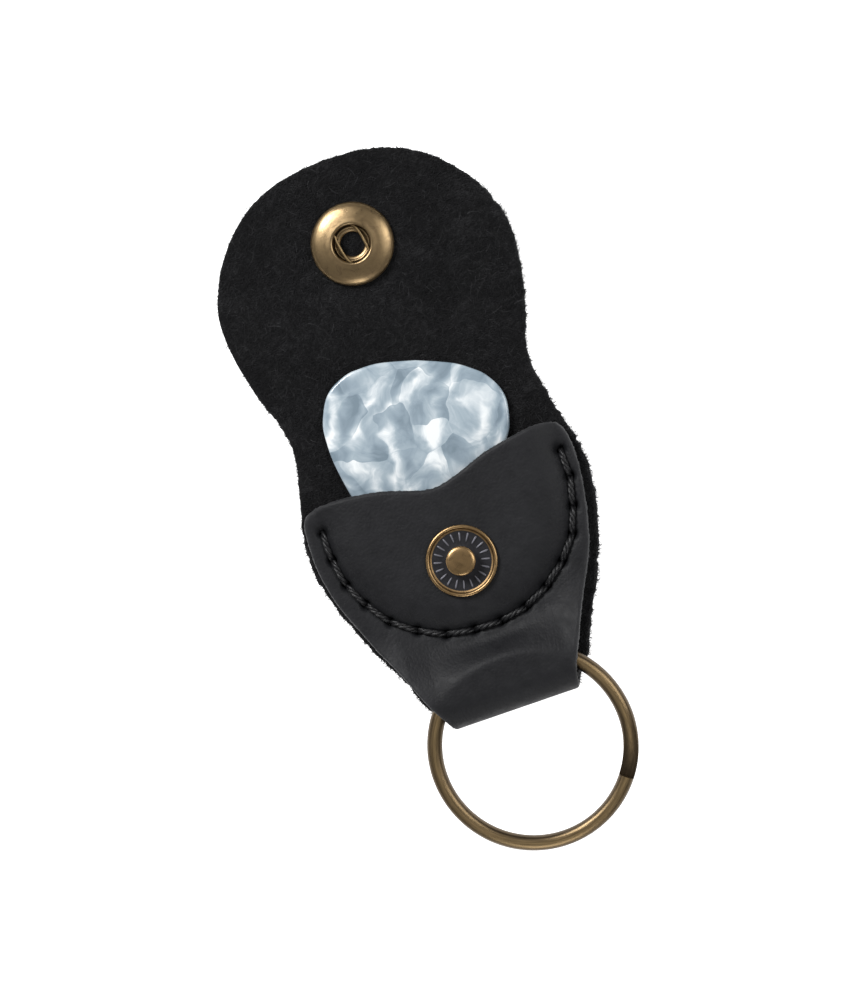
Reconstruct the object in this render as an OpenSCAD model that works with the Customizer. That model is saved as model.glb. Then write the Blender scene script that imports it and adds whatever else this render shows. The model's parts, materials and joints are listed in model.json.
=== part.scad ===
// Leather guitar pick holder with a snap flap, a stitched pocket, a pick and a split key ring.
// It lies on its back: +Z is up, +Y runs towards the open flap and +X to the right.
// The origin is on the flat rear face, straight under the centre of the pocket's snap stud.

/* [Leather] */
// Thickness of the leather strip
leather_t = 2.0; // [1.8:0.1:2.1]
// Height of the space for the pick between the back and the pocket front
pocket_gap = 1.7; // [1.6:0.1:1.9]
// Distance from the stud's axis to the outside of the fold that holds the ring
fold_y = 22.3; // [22.3:0.1:22.6]
// Height of the tunnel inside the fold
tunnel_h = 3.4; // [3.4:0.1:3.6]
// Distance along the leather from the stud's axis to the socket's axis
snap_pitch = 47.73; // [47.4:0.01:48.2]
// Distance between the leathers around the closed snap
snap_stack = 2.6; // [2.6:0.05:2.8]

/* [Seam] */
// Half width of the U shaped seam
seam_a = 18.0; // [17.8:0.1:18.1]
// Height of the U shaped seam, from its lowest point to where its arms run straight
seam_b = 17.9; // [17.8:0.1:18]
// Distance between two stitch holes
stitch_pitch = 4.1; // [3.9:0.1:4.2]
// Number of stitch holes
stitch_holes = 16; // [16:1:16]
// Diameter of the waxed thread
thread_d = 0.8; // [0.7:0.05:0.85]

/* [Pick] */
// Length of the pick
pick_len = 29.2; // [28.5:0.1:29.3]
// Thickness of the pick
pick_t = 0.8; // [0.5:0.05:0.9]
// Turn of the pick from the holder's centre line
pick_turn = 19.4; // [18:0.1:20]

/* [Snap] */
// Outer diameter of the stud's rolled rim
stud_d = 10.2; // [9.8:0.1:10.4]
// Diameter of the stud's ball
ball_d = 4.2; // [4:0.1:4.3]
// Outer diameter of the socket
socket_d = 12.0; // [11.6:0.1:12.4]
// Diameter of the socket's mouth
mouth_d = 5.3; // [5.1:0.1:5.5]
// Diameter of the cap on the outside of the flap
cap_d = 12.6; // [12:0.1:13]

/* [Key ring] */
// Outer diameter of the split ring
ring_d = 30.0; // [30:0.1:30.2]
// Width of the ring's wire
ring_w = 2.2; // [2:0.1:2.3]
// Thickness of the two coils together
ring_h = 2.3; // [2:0.1:2.4]

/* [Hidden] */

slack = 0.04;                              // gap left where the leather is parted to bend
z_back = leather_t;                        // flesh side of the back leather
z_face = leather_t*2 + pocket_gap;         // smooth face of the pocket
z_under = leather_t + pocket_gap;          // flesh side of the pocket front
z_closed = z_face + snap_stack;            // flesh side of the closed flap
strip = (z_closed - z_back)/sqrt(3);       // length of each of the two strips that bend
bend_y1 = snap_pitch/2 - strip;
bend_y2 = snap_pitch/2;
bend_y3 = snap_pitch/2 + strip;
root_y = bend_y3 + 3.5;                    // where the stiff part of the flap begins
open_step = 1;                             // how far each bend is raised while the cap lies on a table
tunnel_r = tunnel_h/2;
fold_r = tunnel_r + leather_t;
fold_c = -fold_y + fold_r;                 // centre of the fold, along Y
fold_z = z_back + tunnel_r;
cap_h = 1.19;                              // how far the cap stands out of the leather

// one coordinate of a smooth curve through four points
function curve1(a, b, c, d, t) = 0.5*(2*b + (c - a)*t + (2*a - 5*b + 4*c - d)*t*t + (3*b - a - 3*c + d)*t*t*t);
// a smooth open curve through the points p, with n steps between two of them
function smooth(p, n) = [for (i = [0:len(p) - 2]) for (k = [0:n - 1])
    let (a = p[max(i - 1, 0)], b = p[i], c = p[i + 1], d = p[min(i + 2, len(p) - 1)], t = k/n)
    [curve1(a.x, b.x, c.x, d.x, t), curve1(a.y, b.y, c.y, d.y, t)]];
function turned(p) = [for (i = [len(p) - 1:-1:0]) p[i]];

// the cut edge of the leather strip, from the fold to the top of the flap, on the right and on the left
edge_r = [[11.5, -20], [12.8, -17], [14.1, -14], [15.6, -11], [17.2, -8], [18.4, -5], [19.4, -2], [20.2, 1],
          [20.8, 4], [21.1, 8], [20.7, 11], [20.0, 14], [19.3, 17], [18.7, 20], [18.2, 23.5], [18.7, 27],
          [19.8, 30], [20.9, 34], [21.7, 38], [22.0, 41.5], [21.7, 45], [20.6, 48], [19.0, 51], [16.6, 54],
          [13.8, 56.5], [10.2, 58.6], [5.4, 60], [0, 60.4]];
edge_l = [[-11.4, -20], [-12.5, -17], [-13.6, -14], [-15.1, -11], [-16.7, -8], [-17.9, -5], [-19.1, -2], [-20.1, 1],
          [-20.8, 4], [-21.1, 8], [-20.8, 11], [-20.0, 14], [-19.2, 17], [-18.5, 20], [-18.1, 23.5], [-18.7, 27],
          [-19.8, 30], [-20.9, 34], [-21.7, 38], [-22.0, 41.5], [-21.7, 45], [-20.6, 48], [-19.0, 51], [-16.6, 54],
          [-13.8, 56.5], [-10.2, 58.6], [-5.4, 60], [0, 60.4]];
// the cut edge of the pocket front, from the fold up the right side, along the scooped top and down the left side
front = [[10.0, -21], [10.9, -18], [12.0, -15.6], [13.4, -12.4], [15.5, -8], [17.4, -4], [18.9, 1], [19.8, 6],
         [20.0, 9], [19.7, 12], [19.0, 13.8], [17.6, 14.5], [15.2, 14.6], [12.4, 14.2], [7.7, 13.3], [3.1, 11.7],
         [-0.6, 11.0], [-4.5, 12.0], [-8.3, 13.1], [-13, 13.8], [-16.7, 13.9], [-18.8, 13.4], [-19.8, 12], [-20.2, 9],
         [-20.1, 5], [-19.4, 1], [-18.4, -2], [-17.2, -5], [-15.9, -8], [-14.3, -11], [-12.8, -14], [-11.4, -17],
         [-9.8, -21]];
// half of the pick's outline, from its broad end to its tip, in the pick's own frame
pick_half = [[0, 0], [5.2, -0.4], [8.3, -1.3], [10, -2.1], [11.9, -3.8], [12.9, -5.6], [13.3, -8], [13.3, -9.8],
             [12.9, -11.5], [12.1, -14], [10.9, -16.6], [9, -20], [6.9, -23.2], [5, -25.8], [3.6, -27.6],
             [2.2, -28.9], [1, -29.4], [0, -29.5]];

module outline() polygon(concat(smooth(edge_r, 4), turned(smooth(edge_l, 4)), [[-11.4, -20]]));
module front_outline() polygon(smooth(front, 4));
module band(y0, y1) translate([-30, y0]) square([60, y1 - y0]);

// the U of the seam: arms that run straight down, then a flattened half circle
seam_x = 0.3;                              // the seam's centre line
seam_top = 8.0;
function seam_u(t) = let (c = cos(t), s = sin(t))
    [seam_x + seam_a*sign(c)*pow(abs(c), 0.96), seam_top - seam_b*pow(abs(s), 0.96)];
seam_fine = concat([[seam_x - seam_a, seam_top + 3]], [for (t = [180:-3:0]) seam_u(t)], [[seam_x + seam_a, seam_top + 3]]);
function total(p, i) = i <= 0 ? 0 : total(p, i - 1) + norm(p[i] - p[i - 1]);
seam_s = [for (i = [0:len(seam_fine) - 1]) total(seam_fine, i)];
function along(s, i = 1) = i >= len(seam_s) - 1 || seam_s[i] >= s
    ? seam_fine[i - 1] + (seam_fine[i] - seam_fine[i - 1])*(s - seam_s[i - 1])/(seam_s[i] - seam_s[i - 1])
    : along(s, i + 1);
seam_start = (seam_s[len(seam_s) - 1] - (stitch_holes - 1)*stitch_pitch)/2;
holes = [for (i = [0:stitch_holes - 1]) along(seam_start + i*stitch_pitch)];

module at_holes() for (p = holes) translate(p) children();
// a bar from hole i to hole i + 1, drawn as a child that runs one unit along X
module stitch(i, short = 0) {
    a = holes[i]; b = holes[i + 1]; v = b - a;
    translate([a.x, a.y, 0]) rotate([0, 0, atan2(v.y, v.x)]) translate([short, 0, 0]) children();
}
function gap(i) = norm(holes[i + 1] - holes[i]);

// the parted leather above the first, second and third bend, as it lies when the flap is open
module bend(y) translate([0, y, z_back]) rotate([open_step, 0, 0]) translate([0, -y, -z_back]) children();
module on_strip_lower() bend(bend_y1) children();
module on_strip_upper() on_strip_lower() bend(bend_y2) children();
module on_flap() on_strip_upper() bend(bend_y3) children();
module at_socket() on_flap() translate([0, snap_pitch, z_back]) children();

module leather(y0, y1) linear_extrude(leather_t) intersection() { outline(); band(y0, y1); }

module back_panel() color([0.13, 0.13, 0.14]) difference() {
    leather(fold_c, bend_y1 - slack);
    translate([0, 0, -1]) at_holes() cylinder(d = thread_d + 0.4, h = 4, $fn = 24);
    // the stitches on the rear lie in a groove, so that the face stays flat
    for (i = [0:stitch_holes - 2]) stitch(i) translate([0, -0.5, -1]) cube([gap(i), 1.0, 1.9]);
}

module ring_loop() color([0.17, 0.17, 0.18]) intersection() {
    rotate([90, 0, 90]) translate([0, 0, -20]) linear_extrude(40) union() {
        difference() {
            intersection() {
                translate([fold_c, fold_z]) circle(r = fold_r, $fn = 64);
                translate([fold_c - 10, fold_z - 10]) square([10, 20]);
            }
            translate([fold_c, fold_z]) circle(r = tunnel_r, $fn = 48);
        }
        polygon([[fold_c, fold_z + tunnel_r], [-12.9, fold_z + tunnel_r], [-11.2, z_under], [-11.2, z_face],
                 [-13.2, fold_z + fold_r], [fold_c, fold_z + fold_r]]);
    }
    translate([0, 0, -1]) linear_extrude(12) union() {
        intersection() { front_outline(); band(-19.6, -11.2); }
        translate([-8.9, -23]) square([18.7, 4]);
    }
}

module pocket_front() color([0.17, 0.17, 0.18]) difference() {
    translate([0, 0, z_back]) linear_extrude(z_face - z_back) intersection() { front_outline(); band(-11.2, 20); }
    // the space for the pick, inside the seam and open at the top
    translate([0, 0, z_back - 1]) linear_extrude(pocket_gap + 1) polygon(concat(
        [for (t = [180:-5:0]) let (p = seam_u(t)) [seam_x + (p.x - seam_x)*0.948, seam_top + (p.y - seam_top)*0.948]],
        [[seam_x + seam_a*0.948, 20], [seam_x - seam_a*0.948, 20]]));
    translate([0, 0, 1]) at_holes() cylinder(d = thread_d + 0.4, h = 6, $fn = 24);
    for (i = [0:stitch_holes - 2]) stitch(i) translate([0, -0.5, z_face - 0.9]) cube([gap(i), 1.0, 2]);
    cylinder(r = 1.3, h = 10, $fn = 32);
}

module seam_thread() color([0.07, 0.07, 0.08]) {
    at_holes() translate([0, 0, 0.2]) cylinder(r = thread_d/2 - 0.02, h = z_face - 0.4, $fn = 16);
    for (i = [0:stitch_holes - 2]) {
        stitch(i, thread_d/2 + 0.05) translate([0, 0, 0.46]) rotate([0, 90, 0]) cylinder(d = thread_d, h = gap(i) - thread_d - 0.1, $fn = 16);
        stitch(i, thread_d/2 + 0.05) translate([0, 0, z_face - 0.46]) rotate([0, 90, 0]) cylinder(d = thread_d, h = gap(i) - thread_d - 0.1, $fn = 16);
    }
}

module hinge_strip_lower() color([0.15, 0.15, 0.16]) on_strip_lower() leather(bend_y1 + slack, bend_y2 - slack);
module hinge_strip_upper() color([0.15, 0.15, 0.16]) on_strip_upper() leather(bend_y2 + slack, bend_y3 - slack);
module flap_root() color([0.13, 0.13, 0.14]) on_flap() leather(bend_y3 + slack, root_y - slack);

module flap() color([0.13, 0.13, 0.14]) difference() {
    on_flap() leather(root_y, 61);
    at_socket() translate([0, 0, -5]) cylinder(r = 2.2, h = 8, $fn = 40);
}

// a low dome with a hollow barrel that runs through the leather and is rolled over inside the socket
module snap_cap() color([0.62, 0.5, 0.34]) at_socket() rotate_extrude($fn = 64) polygon(concat(
    [for (t = [0:6:90]) [cap_d/2*sin(t) + 0, -leather_t - 0.35 - (cap_h - 0.35)*cos(t)]],
    [[cap_d/2, -leather_t - 0.02], [2.15, -leather_t - 0.02], [2.15, 0.24], [2.65, 0.24], [2.75, 0.4], [2.5, 0.56],
     [1.9, 0.5], [1.62, 0.3], [1.62, -leather_t + 0.1], [0, -leather_t - 0.1]]));

// a dished ring round a chamber for the spring, with a rolled mouth
socket_h = 1.85;
module snap_socket() color([0.72, 0.6, 0.43]) at_socket() rotate_extrude($fn = 64) polygon([
    [2.3, 0.02], [socket_d/2 - 0.5, 0.02], [socket_d/2 - 0.12, 0.12], [socket_d/2, 0.4], [socket_d/2 - 0.1, 0.75],
    [socket_d/2 - 0.7, 1.2], [socket_d/2 - 1.6, 1.55], [mouth_d/2 + 0.9, socket_h - 0.06], [mouth_d/2 + 0.4, socket_h],
    [mouth_d/2 + 0.1, socket_h - 0.06], [mouth_d/2, socket_h - 0.3], [mouth_d/2 + 0.1, socket_h - 0.5],
    [socket_d/2 - 1.9, 1.22], [socket_d/2 - 1.0, 0.85], [socket_d/2 - 0.9, 0.22], [2.3, 0.22]]);

// a wire spring in an S: two straight runs beside the ball, joined at opposite ends to short hooks
wire_r = 0.22;
module snap_spring() color([0.6, 0.5, 0.36]) at_socket() translate([0, 0, 0.95]) for (s = [0, 180]) rotate([0, 0, s]) {
    translate([1.98, -1.7, 0]) rotate([-90, 0, 0]) cylinder(r = wire_r, h = 3.4, $fn = 16);
    translate([2.68, 1.7, 0]) intersection() {
        rotate_extrude($fn = 32) translate([0.7, 0]) circle(r = wire_r, $fn = 16);
        translate([-3, 0, -1]) cube([6, 3, 2]);
    }
}

// a flange with a rolled rim, twenty pressed ribs and a hollow ball on a neck
rim_r = stud_d/2;
module snap_stud() color([0.66, 0.54, 0.37]) translate([0, 0, z_face]) {
    rotate_extrude($fn = 64) polygon([
        [1.3, 0.02], [rim_r - 0.3, 0.02], [rim_r, 0.2], [rim_r, 0.42], [rim_r - 0.15, 0.56], [rim_r - 0.35, 0.6],
        [rim_r - 0.55, 0.54], [rim_r - 0.7, 0.35], [rim_r - 0.72, 0.27], [1.75, 0.27], [1.7, 0.5], [1.7, 1.35],
        [1.95, 1.5], [ball_d/2, 1.68], [ball_d/2, 1.8], [1.95, 1.98], [1.6, 2.09], [0.9, 2.15], [0, 2.16],
        [0, 1.75], [1.3, 1.6]]);
    for (a = [0:18:342]) rotate([0, 0, a]) translate([2.6, -0.17, 0.2]) cube([1.55, 0.34, 0.22]);
}

// the eyelet inside the pocket, whose barrel holds the stud
module snap_post() color([0.62, 0.5, 0.34]) rotate_extrude($fn = 48) polygon([
    [0.75, z_under - 0.3], [3.6, z_under - 0.3], [3.8, z_under - 0.15], [3.6, z_under - 0.02], [1.18, z_under - 0.02],
    [1.18, z_face + 1.3], [0.75, z_face + 1.3]]);

module pick() color([0.74, 0.79, 0.83]) translate([0, 0.8, z_back + 0.06]) rotate([1.15, 0, 0]) translate([0, -0.8, 0])
    linear_extrude(pick_t) translate([3.0, 29.1]) rotate(-pick_turn) scale([1, pick_len/29.5])
        polygon(concat(smooth(pick_half, 3), turned([for (p = smooth(pick_half, 3)) [-p.x, p.y]])));

// two half round coils lying on each other, seen in section as one oval with a fine gap between the coils
ring_x = 0.5;
ring_y = -28.1;
ring_m = ring_d/2 - ring_w/2;
ring_tilt = 5.65;
module key_ring() color([0.55, 0.45, 0.32])
    translate([0, -16.3, fold_z]) rotate([ring_tilt, 0, 0]) translate([ring_x, ring_y + 16.3, 0]) difference() {
        rotate_extrude($fn = 96) translate([ring_m, 0]) polygon(concat(
            [for (t = [-90:15:90]) [ring_w/2*pow(cos(t), 0.7), ring_h/2*sin(t)]],
            [for (t = [90:15:270]) [-ring_w/2*pow(abs(cos(t)), 0.7), ring_h/2*sin(t)]]));
        // the gap between the coils, outside and inside
        rotate_extrude($fn = 96) translate([ring_d/2 - 0.25, -0.04]) square([1, 0.08]);
        rotate_extrude($fn = 96) translate([ring_d/2 - ring_w - 0.75, -0.04]) square([1, 0.08]);
        // the two ends of the wire
        rotate([0, 0, 20]) translate([ring_m - 2, -0.1, 0]) cube([4, 0.2, 3]);
        rotate([0, 0, -40]) translate([ring_m - 2, -0.1, -3]) cube([4, 0.2, 3]);
    }

back_panel();
ring_loop();
pocket_front();
seam_thread();
hinge_strip_lower();
hinge_strip_upper();
flap_root();
flap();
snap_cap();
snap_socket();
snap_spring();
snap_stud();
snap_post();
pick();
key_ring();
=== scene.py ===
"""Leather pick holder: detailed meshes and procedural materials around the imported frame. Lengths below are in millimetres."""
import json
import math
import bpy
import numpy as np
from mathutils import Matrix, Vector
from mathutils.geometry import delaunay_2d_cdt

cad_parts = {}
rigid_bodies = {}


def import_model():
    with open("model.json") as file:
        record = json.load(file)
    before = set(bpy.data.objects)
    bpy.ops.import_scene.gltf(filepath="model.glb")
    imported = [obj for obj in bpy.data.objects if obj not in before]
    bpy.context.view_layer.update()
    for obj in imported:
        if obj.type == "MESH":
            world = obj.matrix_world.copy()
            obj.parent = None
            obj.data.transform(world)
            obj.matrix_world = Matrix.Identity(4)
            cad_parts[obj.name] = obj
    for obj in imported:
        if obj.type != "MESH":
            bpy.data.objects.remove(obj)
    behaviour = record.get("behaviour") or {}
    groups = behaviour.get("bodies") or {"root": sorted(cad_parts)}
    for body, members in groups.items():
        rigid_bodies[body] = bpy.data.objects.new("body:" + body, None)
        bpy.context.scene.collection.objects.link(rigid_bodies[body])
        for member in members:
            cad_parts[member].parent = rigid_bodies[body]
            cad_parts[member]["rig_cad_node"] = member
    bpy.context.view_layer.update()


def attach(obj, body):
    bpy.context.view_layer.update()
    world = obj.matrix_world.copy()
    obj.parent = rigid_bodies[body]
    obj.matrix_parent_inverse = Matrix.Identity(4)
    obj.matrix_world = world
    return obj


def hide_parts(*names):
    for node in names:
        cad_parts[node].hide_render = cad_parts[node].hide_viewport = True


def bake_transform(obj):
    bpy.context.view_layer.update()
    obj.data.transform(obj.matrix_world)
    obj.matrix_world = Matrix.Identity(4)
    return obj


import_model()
MM = 0.001
rng = np.random.default_rng(7)

# ------------------------------------------------------------------ dimensions, as in the CAD
T = 2.0
Z_UNDER, Z_FACE = 3.7, 5.7
FOLD_C, FOLD_Z, R_IN, R_OUT, R_N = -18.6, 3.7, 1.7, 3.7, 2.7
STACK, PITCH = 2.6, 47.73
STRIP = (Z_FACE + STACK - T) / math.sqrt(3)
Y1, Y2, Y3 = PITCH / 2 - STRIP, PITCH / 2, PITCH / 2 + STRIP
H = STRIP / 2
C0, C1, C2, C3 = Y1 - H, Y1 + H, Y2 + H, Y3 + H
SEAM_X, SEAM_TOP, SEAM_A, SEAM_B = 0.3, 8.0, 18.0, 17.9
RING_X, RING_Y, RING_TILT = 0.5, -28.1, 5.65
S_FOLD = math.pi * R_N
FRONT_S = FOLD_C - S_FOLD           # where the front begins, along the strip


def curve(p, n):
    p = np.array(p, float)
    out = []
    for i in range(len(p) - 1):
        a, b, c, d = p[max(i - 1, 0)], p[i], p[i + 1], p[min(i + 2, len(p) - 1)]
        for k in range(n):
            t = k / n
            out.append(0.5 * (2 * b + (c - a) * t + (2 * a - 5 * b + 4 * c - d) * t * t + (3 * b - a - 3 * c + d) * t ** 3))
    out.append(p[-1])
    return np.array(out)


def resample(p, step, closed=False):
    p = np.array(p, float)
    if closed:
        p = np.vstack([p, p[:1]])
    seg = np.linalg.norm(np.diff(p, axis=0), axis=1)
    keep = np.concatenate([[True], seg > 1e-9])
    p = p[keep]
    s = np.concatenate([[0], np.cumsum(np.linalg.norm(np.diff(p, axis=0), axis=1))])
    n = max(2, int(round(s[-1] / step)) + 1)
    u = np.linspace(0, s[-1], n)
    q = np.stack([np.interp(u, s, p[:, k]) for k in range(p.shape[1])], 1)
    return q[:-1] if closed else q


EDGE_R = [[11.5, -20], [12.8, -17], [14.1, -14], [15.6, -11], [17.2, -8], [18.4, -5], [19.4, -2], [20.2, 1],
          [20.8, 4], [21.1, 8], [20.7, 11], [20.0, 14], [19.3, 17], [18.7, 20], [18.2, 23.5], [18.7, 27],
          [19.8, 30], [20.9, 34], [21.7, 38], [22.0, 41.5], [21.7, 45], [20.6, 48], [19.0, 51], [16.6, 54],
          [13.8, 56.5], [10.2, 58.6], [5.4, 60], [0, 60.4]]
EDGE_L = [[-11.4, -20], [-12.5, -17], [-13.6, -14], [-15.1, -11], [-16.7, -8], [-17.9, -5], [-19.1, -2], [-20.1, 1],
          [-20.8, 4], [-21.1, 8], [-20.8, 11], [-20.0, 14], [-19.2, 17], [-18.5, 20], [-18.1, 23.5], [-18.7, 27],
          [-19.8, 30], [-20.9, 34], [-21.7, 38], [-22.0, 41.5], [-21.7, 45], [-20.6, 48], [-19.0, 51], [-16.6, 54],
          [-13.8, 56.5], [-10.2, 58.6], [-5.4, 60], [0, 60.4]]
FRONT = [[10.6, -18.6], [12.0, -15.6], [13.4, -12.4], [15.5, -8], [17.4, -4], [18.9, 1], [19.8, 6],
         [20.0, 9], [19.8, 12], [19.0, 13.9], [17.6, 14.5], [15.2, 14.6], [12.4, 14.2], [7.7, 13.3], [3.1, 11.7],
         [-0.6, 11.0], [-4.5, 12.0], [-8.3, 13.1], [-13, 13.8], [-16.9, 13.9], [-18.9, 13.4], [-19.9, 12], [-20.2, 9],
         [-20.1, 5], [-19.4, 1], [-18.4, -2], [-17.2, -5], [-15.9, -8], [-14.3, -11], [-12.8, -14], [-10.8, -18.6]]
er, el = curve(EDGE_R, 6), curve(EDGE_L, 6)
fr = curve(FRONT, 6)

# the seam
tt = np.radians(np.arange(180, -1, -3))
us = np.stack([SEAM_X + SEAM_A * np.sign(np.cos(tt)) * np.abs(np.cos(tt)) ** 0.96,
               SEAM_TOP - SEAM_B * np.abs(np.sin(tt)) ** 0.96], 1)
seam = np.vstack([[[SEAM_X - SEAM_A, SEAM_TOP + 3]], us, [[SEAM_X + SEAM_A, SEAM_TOP + 3]]])
ss = np.concatenate([[0], np.cumsum(np.linalg.norm(np.diff(seam, axis=0), axis=1))])
start = (ss[-1] - 15 * 4.1) / 2
hs = start + 4.1 * np.arange(16)
HOLES = np.stack([np.interp(hs, ss, seam[:, 0]), np.interp(hs, ss, seam[:, 1])], 1)
HOLES += rng.normal(0, 0.1, HOLES.shape)


def seg_dist(p, line, closed=False):
    """Distance of each point from a polyline."""
    a = line if not closed else line
    b = np.roll(line, -1, 0) if closed else line[1:]
    a = a if closed else a[:-1]
    out = np.full(len(p), 1e9)
    d = b - a
    dd = (d * d).sum(1)
    for i in range(len(a)):
        t = np.clip(((p - a[i]) @ d[i]) / max(dd[i], 1e-12), 0, 1)
        q = p - a[i] - t[:, None] * d[i]
        out = np.minimum(out, (q * q).sum(1))
    return np.sqrt(out)


def inside(p, poly):
    x, y = p[:, 0], p[:, 1]
    c = np.zeros(len(p), bool)
    a, b = poly, np.roll(poly, -1, 0)
    for (x0, y0), (x1, y1) in zip(a, b):
        hit = ((y0 > y) != (y1 > y))
        if hit.any():
            xi = (x1 - x0) * (y - y0) / (y1 - y0 + 1e-30) + x0
            c ^= hit & (x < xi)
    return c


def smooth(t):
    t = np.clip(t, 0, 1)
    return t * t * (3 - 2 * t)


def hash_noise(p, scale, seed=0):
    """Smooth value noise in two dimensions, from -1 to 1."""
    q = np.asarray(p, float) / scale + 100.0
    i = np.floor(q).astype(np.int64)
    f = q - i
    f = f * f * (3 - 2 * f)

    def h(ix, iy):
        n = (ix * 374761393 + iy * 668265263 + seed * 974634777) & 0x7FFFFFFF
        n = ((n ^ (n >> 13)) * 1274126177) & 0x7FFFFFFF
        n = n ^ (n >> 16)
        return (n & 0xFFFF) / 32767.5 - 1
    a, b = h(i[:, 0], i[:, 1]), h(i[:, 0] + 1, i[:, 1])
    c, d = h(i[:, 0], i[:, 1] + 1), h(i[:, 0] + 1, i[:, 1] + 1)
    return (a * (1 - f[:, 0]) + b * f[:, 0]) * (1 - f[:, 1]) + (c * (1 - f[:, 0]) + d * f[:, 0]) * f[:, 1]


# ------------------------------------------------------------------ materials
def mat(name, colour, rough, metallic=0.0, spec=0.5, coat=0.0, coat_rough=0.1, sheen=0.0, sheen_rough=0.5, sheen_tint=(1, 1, 1)):
    m = bpy.data.materials.new(name)
    m.use_nodes = True
    nt = m.node_tree
    b = nt.nodes["Principled BSDF"]
    b.inputs["Base Color"].default_value = (*colour, 1)
    b.inputs["Roughness"].default_value = rough
    b.inputs["Metallic"].default_value = metallic
    b.inputs["Specular IOR Level"].default_value = spec
    b.inputs["Coat Weight"].default_value = coat
    b.inputs["Coat Roughness"].default_value = coat_rough
    b.inputs["Sheen Weight"].default_value = sheen
    b.inputs["Sheen Roughness"].default_value = sheen_rough
    b.inputs["Sheen Tint"].default_value = (*sheen_tint, 1)
    return m, nt, b


class Net:
    """Small helper that adds nodes and links them."""

    def __init__(self, nt):
        self.nt = nt

    def n(self, kind, **kw):
        node = self.nt.nodes.new(kind)
        for k, v in kw.items():
            if k.startswith("i_"):
                node.inputs[k[2:].replace("_", " ")].default_value = v
            else:
                setattr(node, k, v)
        return node

    def l(self, a, b):
        self.nt.links.new(a, b)

    def attr(self, name, out="Vector"):
        return self.n("ShaderNodeAttribute", attribute_name=name).outputs[out]

    def noise(self, vec, scale, detail=4, rough=0.55, distortion=0.0, dims="3D"):
        t = self.n("ShaderNodeTexNoise", noise_dimensions=dims)
        t.inputs["Scale"].default_value = scale
        t.inputs["Detail"].default_value = detail
        t.inputs["Roughness"].default_value = rough
        t.inputs["Distortion"].default_value = distortion
        self.l(vec, t.inputs["Vector"])
        return t.outputs["Fac"]

    def voronoi(self, vec, scale, feature="F1", out="Distance", rand=1.0):
        t = self.n("ShaderNodeTexVoronoi", feature=feature)
        t.inputs["Scale"].default_value = scale
        t.inputs["Randomness"].default_value = rand
        self.l(vec, t.inputs["Vector"])
        return t.outputs[out]

    def math(self, op, a, b=None, c=None, clamp=False):
        m = self.n("ShaderNodeMath", operation=op, use_clamp=clamp)
        for i, v in enumerate([a, b, c]):
            if v is None:
                continue
            if isinstance(v, (int, float)):
                m.inputs[i].default_value = v
            else:
                self.l(v, m.inputs[i])
        return m.outputs[0]

    def ramp(self, fac, stops):
        r = self.n("ShaderNodeValToRGB")
        e = r.color_ramp.elements
        while len(e) < len(stops):
            e.new(0.5)
        for k, (p, c) in enumerate(stops):
            e[k].position = p
            e[k].color = (*c, 1) if len(c) == 3 else c
        self.l(fac, r.inputs["Fac"])
        return r.outputs["Color"]

    def mapr(self, v, a, b, c, d):
        m = self.n("ShaderNodeMapRange")
        m.inputs["From Min"].default_value, m.inputs["From Max"].default_value = a, b
        m.inputs["To Min"].default_value, m.inputs["To Max"].default_value = c, d
        self.l(v, m.inputs["Value"])
        return m.outputs["Result"]

    def mix(self, fac, a, b, blend="MIX"):
        m = self.n("ShaderNodeMix", data_type="RGBA", blend_type=blend)
        if isinstance(fac, (int, float)):
            m.inputs[0].default_value = fac
        else:
            self.l(fac, m.inputs[0])
        for k, v in ((6, a), (7, b)):
            if isinstance(v, tuple):
                m.inputs[k].default_value = (*v, 1)
            else:
                self.l(v, m.inputs[k])
        return m.outputs[2]

    def bump(self, height, strength, distance, normal=None):
        b = self.n("ShaderNodeBump")
        b.inputs["Strength"].default_value = strength
        b.inputs["Distance"].default_value = distance
        self.l(height, b.inputs["Height"])
        if normal is not None:
            self.l(normal, b.inputs["Normal"])
        return b.outputs["Normal"]

    def scaled(self, vec, s):
        m = self.n("ShaderNodeVectorMath", operation="MULTIPLY")
        self.l(vec, m.inputs[0])
        m.inputs[1].default_value = s
        return m.outputs[0]


def leather_grain():
    m, nt, b = mat("leather_grain", (0.03, 0.03, 0.033), 0.55, spec=0.20, coat=0.0)
    k = Net(nt)
    v = k.attr("flat")
    cloud = k.noise(v, 0.09, 3, 0.6, 0.4)
    mid = k.noise(v, 0.5, 5, 0.65, 0.3)
    fine = k.noise(v, 3.2, 3, 0.6)
    brushed = k.noise(k.scaled(v, (0.35, 1.6, 1)), 1.1, 4, 0.7, 0.6)
    base = k.ramp(k.math("ADD", k.math("MULTIPLY", cloud, 0.55), k.math("MULTIPLY", mid, 0.45)),
                  [(0.30, (0.0055, 0.0057, 0.0068)), (0.5, (0.0088, 0.0090, 0.0104)), (0.72, (0.0140, 0.0143, 0.0160))])
    streak = k.mapr(brushed, 0.60, 0.78, 0.0, 0.35)
    base = k.mix(streak, base, (0.030, 0.030, 0.033))
    # lighter along the grain side's edges: rubbed wear with a painted highlight
    rub = k.attr("rub", "Fac")
    base = k.mix(k.math("MULTIPLY", rub, 0.8, clamp=True), base, (0.050, 0.050, 0.053))
    k.l(base, b.inputs["Base Color"])
    k.l(k.mapr(mid, 0.3, 0.7, 0.50, 0.66), b.inputs["Roughness"])
    cells = k.voronoi(v, 2.6, "SMOOTH_F1")
    crease = k.voronoi(k.scaled(v, (1, 0.55, 1)), 1.05, "DISTANCE_TO_EDGE")
    h = k.math("ADD", k.math("MULTIPLY", cells, 0.5), k.math("MULTIPLY", fine, 0.5))
    h = k.math("ADD", h, k.math("MULTIPLY", k.mapr(crease, 0, 0.09, 0, 1), 0.12))
    k.l(k.bump(h, 0.34, 0.00022), b.inputs["Normal"])
    return m


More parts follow.
